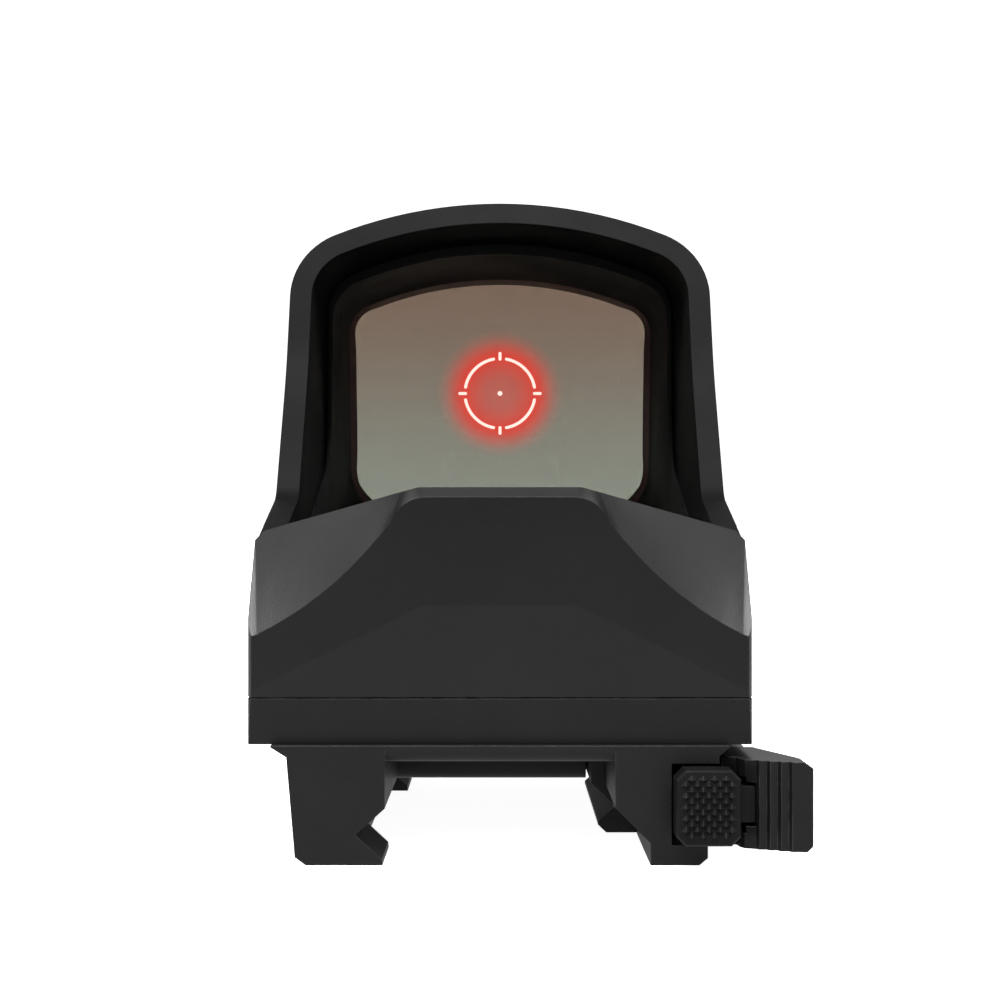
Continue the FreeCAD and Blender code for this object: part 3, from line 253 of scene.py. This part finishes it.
dress(coated_metal("dial_anodising", (0.012, 0.012, 0.0127), rough=0.38, wear=0.5, edge=0.00005),
      "elevation_dial", "windage_dial")
dress(coated_metal("tray_anodising", (0.0092, 0.0092, 0.0097), rough=0.44), "battery_tray")
dress(bare_steel("blackened_screw_steel", (0.06, 0.06, 0.062), 0.36, metallic=0.8),
      "mount_screws", "plate_screws", "hood_screws", "tray_screws")
dress(bare_steel("ground_steel", (0.55, 0.55, 0.56), 0.25, (0.2, 1.0, 1.0)),
      "jaw_guide_pin", "windage_plunger", "guide_rods")
dress(bare_steel("pin_steel", (0.4, 0.4, 0.41), 0.28, (1.0, 1.0, 0.2)), "lever_pin", "elevation_plunger")
dress(bare_steel("spring_wire", (0.5, 0.49, 0.48), 0.3), "jaw_spring", "lock_spring", "windage_spring",
      "elevation_spring")
dress(bare_steel("machined_aluminium", (0.6, 0.6, 0.62), 0.35, (1.0, 0.25, 1.0)), "emitter_carriage",
      "emitter_block")
dress(bare_steel("plain_screw_steel", (0.5, 0.5, 0.5), 0.3), "board_screws", "dome_switches")
dress(bare_steel("gilt_spring_strip", (0.75, 0.55, 0.28), 0.3, (0.3, 1.0, 1.0)), "battery_contacts")
dress(bare_steel("cell_can", (0.72, 0.72, 0.71), 0.24, (1.0, 1.0, 4.0)), "battery")
dress(rubber("seal_rubber", (0.008, 0.008, 0.008)), "base_gasket", "adjuster_seals", "tray_seal")
dress(rubber("button_rubber", (0.010, 0.010, 0.0104)), "brightness_up_button", "brightness_down_button")


def seal_painted_red_glow():
    """The seal round the glass, coloured red as a painted reflection of the coating's red light."""
    n = Nodes("glass_edge_seal")
    # painted reflection: red standing in for the coating's light on the seal
    n.set(Base_Color=n.blend(n.noise(700, 3), (0.045, 0.020, 0.020), (0.080, 0.032, 0.031)))
    n.set(Roughness=n.span(n.noise(300, 3), 0.3, 0.7, 0.3, 0.45), Specular_IOR_Level=0.5)
    n.set(Normal=n.bump(n.noise(2600, 2), 0.00001, 0.4))
    return n.material


dress(seal_painted_red_glow(), "lens_gasket")

LEAN = math.radians(10.0)              # the glass's top leans this far to the rear
GLASS_AT = Vector((0.0, 48.5 * MM, 39.4 * MM))      # the middle of the cemented faces


def frame_finish():
    """The window frame's black, with a painted red reflection of the coated glass on its faces next to the
    glass.
    """
    n = Nodes("frame_anodising")
    rounded = n.soft_edges(0.0001)
    ahead = (0.0, math.cos(LEAN), math.sin(LEAN))
    depth = n.vector("DOT_PRODUCT", n.vector("SUBTRACT", n.coords, GLASS_AT), ahead)
    red_glow_near_glass = n.span(depth, -5.4 * MM, -4.1 * MM, smooth=True)
    patches = n.span(n.noise(160, 4, 0.6), 0.3, 0.75)
    clouded = n.blend(patches, (0.0060, 0.0060, 0.0062), (0.0082, 0.0082, 0.0084))
    # painted reflection: the coating's red light is painted on the frame next to the glass
    n.set(Base_Color=n.blend(n.math("MULTIPLY", red_glow_near_glass, 0.35), clouded, (0.0105, 0.0058, 0.0058)))
    n.set(Roughness=n.span(n.noise(90, 4), 0.3, 0.7, 0.62, 0.74), Specular_IOR_Level=0.08)
    n.set(Normal=n.bump(n.noise(7000, 2, 0.5), 0.000012, 0.6, under=rounded))
    return n.material


dress(frame_finish(), "lens_frame")


def window_glass(name, low, high, z_low, z_high, tint):
    """Coated glass, tinted from low at its foot to high at its top, with a faint unevenness."""
    n = Nodes(name)
    ramp = n.span(n.axis("Z"), z_low, z_high, smooth=True)
    drift = n.math("MULTIPLY", n.math("SUBTRACT", n.noise(25, 2), 0.5), 0.06)
    n.set(Base_Color=n.blend(n.math("ADD", ramp, drift, clamp=True), low, high))
    n.set(Roughness=n.span(n.noise(90, 3), 0.4, 0.75, 0.0, 0.012))
    n.set(Transmission_Weight=1.0, IOR=1.5, Specular_Tint=(*tint, 1.0))
    return n.material


dress(window_glass("emitter_glass", (0.9, 0.9, 0.92), (0.95, 0.95, 0.96), 0.018, 0.026, (0.9, 0.9, 1.0)),
      "emitter_window", "solar_cover")


CELL_PITCH, LINE_PITCH = 2.65 * MM, 0.9 * MM


def solar_cells():
    """Dark blue cells with a gap between one and the next, and fine bright collecting lines."""
    n = Nodes("solar_cells")
    across = n.math("MULTIPLY", n.axis("Y"), 2 * math.pi / CELL_PITCH)
    along = n.math("MULTIPLY", n.axis("X"), 2 * math.pi / LINE_PITCH)
    gap = n.span(n.math("SINE", across), 0.93, 0.99)
    fine = n.span(n.math("SINE", along), 0.9, 0.99)
    crystals = n.span(n.cells(1600), 0.0, 0.7)
    blue = n.blend(crystals, (0.012, 0.014, 0.035), (0.022, 0.026, 0.062))
    lined = n.blend(n.math("MULTIPLY", fine, 0.5), blue, (0.22, 0.22, 0.24))
    n.set(Base_Color=n.blend(gap, lined, (0.004, 0.004, 0.005)))
    n.set(Roughness=n.span(crystals, 0, 1, 0.18, 0.3), Normal=n.bump(gap, 0.00002, 0.5))
    return n.material


def board_finish():
    """Green solder mask over tracks and glass weave."""
    n = Nodes("board_mask")
    weave = n.noise(4000, 2, at=n.stretched((1.0, 0.12, 1.0)))
    tracks = n.span(n.cells(420, "DISTANCE_TO_EDGE"), 0.05, 0.09)
    n.set(Base_Color=n.blend(tracks, (0.012, 0.075, 0.03), (0.006, 0.04, 0.017)))
    n.set(Roughness=n.span(weave, 0.3, 0.7, 0.28, 0.42), Normal=n.bump(weave, 0.00001, 0.4))
    return n.material


def package_finish():
    """The black resin of the board's parts."""
    n = Nodes("moulded_package")
    n.set(Base_Color=n.blend(n.noise(900, 3), (0.012, 0.012, 0.012), (0.03, 0.03, 0.03)))
    n.set(Roughness=0.6, Normal=n.bump(n.noise(6000, 2), 0.00001, 0.5))
    return n.material


def diode_finish():
    n = Nodes("red_diode")
    n.set(Base_Color=n.blend(n.noise(1200, 2), (0.5, 0.03, 0.02), (0.75, 0.06, 0.04)))
    n.set(Roughness=n.span(n.noise(800, 2), 0.3, 0.7, 0.08, 0.18))
    n.set(Emission_Color=(1.0, 0.05, 0.03, 1.0), Emission_Strength=2.0)
    return n.material


dress(solar_cells(), "solar_panel")
dress(board_finish(), "circuit_board", "switch_board")
dress(package_finish(), "board_parts")
dress(diode_finish(), "emitter_diode")


# ---- The glass, as smooth shells in place of the CAD's -------------------------------------------
EDGE_HALF, EDGE_LOW, EDGE_TOP = 17.0 * MM, -14.0 * MM, 14.0 * MM
ROOF_R, CORNER_R, FOOT_R = 38.15 * MM, 4.15 * MM, 6.75 * MM
MIRROR_R = 110.0 * MM                  # the cemented faces' sphere, which the light reflects from
THICK = 1.6 * MM                       # each element, from its outer face to the cement's middle
CEMENT_HALF = 0.02 * MM


def piece(name, bm, body, material, smooth=False):
    """A mesh of the scene's own that rides on a body and takes a slot's finish."""
    mesh = bpy.data.meshes.new(name)
    bm.normal_update()
    bm.to_mesh(mesh)
    bm.free()
    obj = bpy.data.objects.new(name, mesh)
    bpy.context.scene.collection.objects.link(obj)
    mesh.materials.append(material)
    for polygon in mesh.polygons:
        polygon.use_smooth = smooth
    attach(obj, body)
    return obj


def arc_points(centre, radius, start, stop, steps):
    """Points along an arc, both ends included."""
    return [(centre[0] + radius * math.cos(start + (stop - start) * k / steps),
             centre[1] + radius * math.sin(start + (stop - start) * k / steps)) for k in range(steps + 1)]


def leaned(x, y, z):
    """A point given from the glass's middle along its own leaning axes."""
    return GLASS_AT + Vector((x, y * math.cos(LEAN) - z * math.sin(LEAN),
                              y * math.sin(LEAN) + z * math.cos(LEAN)))


def glass_outline():
    """The glass's rim, counter-clockwise from its foot, in its own plane."""
    rise = EDGE_TOP - ROOF_R
    corner_x = EDGE_HALF - CORNER_R
    corner_z = rise + math.sqrt((ROOF_R - CORNER_R) ** 2 - corner_x ** 2)
    turn = math.atan2(corner_z - rise, corner_x)
    right = arc_points((EDGE_HALF - FOOT_R, EDGE_LOW + FOOT_R), FOOT_R, -math.pi / 2, 0.0, 12)
    right += arc_points((corner_x, corner_z), CORNER_R, 0.0, turn, 10)
    roof = arc_points((0.0, rise), ROOF_R, turn, math.pi - turn, 32)
    left = [(-x, z) for x, z in reversed(right)]
    return right + roof[1:-1] + left


def add_element(name, rear_r, front_r, material):
    """A lens between two spheres about the mirror's centre of curvature."""
    rim = glass_outline()
    bm = bmesh.new()
    rows = 9
    surfaces = []
    for radius in (rear_r, front_r):
        rings = []
        for row in range(1, rows + 1):
            ring = []
            for x, z in rim:
                x, z = x * row / rows, z * row / rows
                y = math.sqrt(radius ** 2 - x * x - z * z) - MIRROR_R
                ring.append(bm.verts.new(leaned(x, y, z)))
            rings.append(ring)
        hub = bm.verts.new(leaned(0.0, radius - MIRROR_R, 0.0))
        surfaces.append((hub, rings))
    count = len(rim)
    for side, (hub, rings) in enumerate(surfaces):
        for k in range(count):
            after = (k + 1) % count
            corners = [hub, rings[0][k], rings[0][after]]
            bm.faces.new(corners if side == 0 else corners[::-1])
            for inner, outer in zip(rings[:-1], rings[1:]):
                corners = [inner[k], outer[k], outer[after], inner[after]]
                bm.faces.new(corners if side == 0 else corners[::-1])
    near, far = surfaces[0][1][-1], surfaces[1][1][-1]
    rims = (set(near), set(far))
    for k in range(count):
        after = (k + 1) % count
        wall = bm.faces.new([near[k], far[k], far[after], near[after]])
        for edge in wall.edges:
            if any(set(edge.verts) <= rim_points for rim_points in rims):
                edge.smooth = False
    obj = piece(name + "_shell", bm, "sight", material, smooth=True)
    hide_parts(name)


glass_low, glass_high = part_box("rear_element")
mirror_glass = window_glass("mirror_coated_glass", (0.243, 0.254, 0.210), (0.190, 0.128, 0.093),
                            glass_low[2], glass_high[2], (1.0, 0.62, 0.5))
clear_glass = window_glass("clear_coated_glass", (0.97, 0.98, 0.99), (0.96, 0.98, 0.99),
                           glass_low[2], glass_high[2], (0.7, 0.85, 1.0))
add_element("rear_element", MIRROR_R - THICK, MIRROR_R - CEMENT_HALF, mirror_glass)
add_element("front_element", MIRROR_R + CEMENT_HALF, MIRROR_R + THICK, clear_glass)

# ---- The reflected reticle, painted as glowing sheets on the glass -------------------------------
RING_R, STROKE, TICK, DOT_R = 3.87 * MM, 0.33 * MM, (3.80 * MM, 4.44 * MM), 0.27 * MM
GAP = math.radians(10.5)               # half the ring's gap at each tick
AIM = 0.75 * MM                        # the pattern's middle, above the glass's own, in its plane
MARKS_CLEAR, BLOOM_CLEAR = 0.15 * MM, 0.1 * MM
FADE = 4.3 * MM                        # how far the bloom reaches beyond the ring
BLOOM_BANDS = 9                        # 1 mm each


def on_glass(x, z, clear):
    """A point of the pattern, set clear of the glass's rear face and following its curve."""
    z += AIM
    return leaned(x, math.sqrt((MIRROR_R - THICK - clear) ** 2 - x * x - z * z) - MIRROR_R, z)


def add_band(bm, inner, outer, steps, clear):
    """A ring between two radii, as curved as the glass."""
    rows = []
    for k in range(steps + 1):
        a = 2 * math.pi * k / steps
        row = [on_glass(r * math.cos(a), r * math.sin(a), clear) for r in (inner, outer)]
        rows.append([bm.verts.new(point) for point in row])
    for near, far in zip(rows[:-1], rows[1:]):
        bm.faces.new((near[0], near[1], far[1], far[0]))


def add_stroke(bm, points, clear):
    """A stroke of even width through the points, with round ends."""
    outline = []
    for side in (1, -1):
        path = points if side == 1 else points[::-1]
        for k, (x, z) in enumerate(path):
            before, after = path[max(k - 1, 0)], path[min(k + 1, len(path) - 1)]
            heading = math.atan2(after[1] - before[1], after[0] - before[0])
            outline.append((x + STROKE / 2 * math.sin(heading), z - STROKE / 2 * math.cos(heading)))
        x, z = path[-1]
        for step in range(1, 7):
            turn = heading - math.pi / 2 + math.pi * step / 7
            outline.append((x + STROKE / 2 * math.cos(turn), z + STROKE / 2 * math.sin(turn)))
    bm.faces.new([bm.verts.new(on_glass(x, z, clear)) for x, z in outline])


# painted reflection: the reticle's strokes glow in place of the diode's light reflected by the glass
def reticle_light():
    n = Nodes("reticle_light")
    n.set(Base_Color=(0, 0, 0, 1), Roughness=1.0, Specular_IOR_Level=0.0)
    flicker = n.noise(3000, 2)
    n.set(Emission_Color=n.blend(flicker, (1.0, 0.62, 0.53), (1.0, 0.8, 0.74)), Emission_Strength=1.25)
    return n.material


def halo_light():
    """A painted red bloom round the reticle, strongest along the ring and fading to nothing outside it."""
    n = Nodes("reticle_halo")
    r = n.vector("LENGTH", n.vector("SUBTRACT", n.coords, on_glass(0.0, 0.0, BLOOM_CLEAR)))
    outside = n.math("POWER", n.span(r, RING_R, RING_R + FADE, 1.0, 0.0, smooth=True), 2.3)
    inside = n.math("POWER", n.span(r, 1.2 * MM, RING_R, 0.0, 1.0), 1.6)
    inside = n.span(inside, 0.0, 1.0, 0.48, 0.92)
    within = n.math("LESS_THAN", r, RING_R)
    glow = n.math("ADD", n.math("MULTIPLY", inside, within),
                  n.math("MULTIPLY", n.math("MULTIPLY", outside, 0.9), n.math("SUBTRACT", 1.0, within)))
    grain = n.span(n.noise(2500, 2), 0.3, 0.7, 0.96, 1.0)
    n.set(Base_Color=(0, 0, 0, 1), Roughness=1.0, Specular_IOR_Level=0.0)
    n.set(Emission_Color=(1.0, 0.062, 0.042, 1.0), Emission_Strength=0.76)
    n.set(Alpha=n.math("MULTIPLY", glow, grain))
    return n.material


marks = bmesh.new()
for quarter in range(4):
    middle = math.radians(45 + 90 * quarter)
    half = math.radians(45) - GAP
    add_stroke(marks, arc_points((0.0, 0.0), RING_R, middle - half, middle + half, 28), MARKS_CLEAR)
    along = math.radians(90 * quarter)
    add_stroke(marks, [(r * math.cos(along), r * math.sin(along)) for r in TICK], MARKS_CLEAR)
marks.faces.new([marks.verts.new(on_glass(x, z, MARKS_CLEAR))
                 for x, z in arc_points((0.0, 0.0), DOT_R, 0.0, 2 * math.pi, 24)[:-1]])
marks_piece = piece("reticle", marks, "sight", reticle_light())

bloom = bmesh.new()
for step in range(BLOOM_BANDS):
    add_band(bloom, (0.01 + step) * MM, (1.01 + step) * MM, 64, BLOOM_CLEAR)
bloom_piece = piece("reticle_bloom", bloom, "sight", halo_light())
for pattern in (marks_piece, bloom_piece):     # seen by the eye, and lights nothing round it
    pattern.visible_diffuse = False
    pattern.visible_glossy = False
    pattern.visible_transmission = False


def pressed_spring(node, body):
    """A copy of the CAD's spring that rides on a body in place of the CAD's own."""
    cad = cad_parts[node]
    obj = bpy.data.objects.new(node + "_coil", cad.data.copy())
    bpy.context.scene.collection.objects.link(obj)
    obj.matrix_world = cad.matrix_world
    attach(obj, body)
    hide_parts(node)
    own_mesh(obj)


pressed_spring("lock_spring", "lever_arm")
pressed_spring("windage_spring", "sight")
pressed_spring("elevation_spring", "carriage")

# ---- Studio --------------------------------------------------------------------------------------
BOUNCE = 0.15                          # the floor's paleness towards the object
GLOW = 0.5                             # the floor's glow towards the object
SHEEN = 0.95                           # the floor's glow in view
FLOOR_R, FLOOR_SIDES = 6.0, 96
WORLD_FILL, WORLD_GLOSS = 1.18, 0.12   # the room's light, and how much of it shows in gloss
LENS, SENSOR = 72.0, 36.0              # both in mm
SHIFT = 0.018                          # lifts the frame a little above the eye's height
EYE = (0.0, -174.5 * MM, 26.06 * MM)   # straight behind the sight

floor_mesh = bpy.data.meshes.new("floor")
sheet = bmesh.new()
sheet.faces.new([sheet.verts.new((x, y, 0.0))
                 for x, y in arc_points((0.0, 0.0), FLOOR_R, 0.0, 2 * math.pi, FLOOR_SIDES)[:-1]])
sheet.to_mesh(floor_mesh)
sheet.free()
floor = bpy.data.objects.new("floor", floor_mesh)
bpy.context.scene.collection.objects.link(floor)
pale = Nodes("floor_paper")
route = pale.new("ShaderNodeLightPath")
in_view = pale.math("MAXIMUM", route.outputs["Is Camera Ray"], route.outputs["Is Transmission Ray"])
paper = pale.blend(pale.noise(40, 3), (0.88, 0.88, 0.88), (0.9, 0.9, 0.9))
pale.set(Base_Color=pale.blend(in_view, (BOUNCE,) * 3, paper), Roughness=0.9, Specular_IOR_Level=0.0)
pale.set(Emission_Color=(1.0, 1.0, 1.0, 1.0), Emission_Strength=pale.span(in_view, 0.0, 1.0, GLOW, SHEEN))
floor_mesh.materials.append(pale.material)


def softbox(name, at, aim, size, power):
    """A soft rectangular lamp that faces a point."""
    light = bpy.data.lights.new(name, "AREA")
    light.shape = "RECTANGLE"
    light.size, light.size_y = size
    light.energy = power
    lamp = bpy.data.objects.new(name, light)
    bpy.context.scene.collection.objects.link(lamp)
    lamp.location = at
    lamp.rotation_mode = "QUATERNION"
    lamp.rotation_quaternion = (Vector(aim) - Vector(at)).to_track_quat("-Z", "Y")


softbox("main_box", (0.0, -0.23, 0.55), (0.0, 0.0, 0.02), (0.85, 0.16), 8.2)
softbox("left_box", (-0.5, 0.05, 0.32), (0.0, 0.01, 0.025), (0.3, 0.4), 0.6)
softbox("right_box", (0.5, 0.05, 0.32), (0.0, 0.01, 0.025), (0.3, 0.4), 0.4)
softbox("front_box", (0.0, 0.5, 0.34), (0.0, 0.01, 0.025), (0.5, 0.3), 0.8)

world = bpy.data.worlds.new("studio")
bpy.context.scene.world = world
world.use_nodes = True
tree = world.node_tree
bright = tree.nodes["Background"]
dim = tree.nodes.new("ShaderNodeBackground")
for background, strength in ((bright, WORLD_FILL), (dim, WORLD_GLOSS)):
    background.inputs["Color"].default_value = (1, 1, 1, 1)
    background.inputs["Strength"].default_value = strength
path = tree.nodes.new("ShaderNodeLightPath")     # gloss meets the dim room, all else the bright one
choose = tree.nodes.new("ShaderNodeMixShader")
mirrored = tree.nodes.new("ShaderNodeMath")
mirrored.operation = "SUBTRACT"
mirrored.use_clamp = True
tree.links.new(path.outputs["Is Glossy Ray"], mirrored.inputs[0])
tree.links.new(path.outputs["Is Transmission Ray"], mirrored.inputs[1])
tree.links.new(mirrored.outputs[0], choose.inputs[0])
tree.links.new(bright.outputs[0], choose.inputs[1])
tree.links.new(dim.outputs[0], choose.inputs[2])
tree.links.new(choose.outputs[0], tree.nodes["World Output"].inputs["Surface"])

camera_data = bpy.data.cameras.new("camera")
camera_data.sensor_width = SENSOR
camera_data.lens = LENS
camera_data.shift_y = SHIFT
camera_data.clip_start, camera_data.clip_end = 0.01, 50.0
camera = bpy.data.objects.new("camera", camera_data)
bpy.context.scene.collection.objects.link(camera)
camera.location = EYE
camera.rotation_euler = (math.radians(90), 0.0, 0.0)
bpy.context.scene.camera = camera
bpy.context.scene.view_settings.view_transform = "Standard"
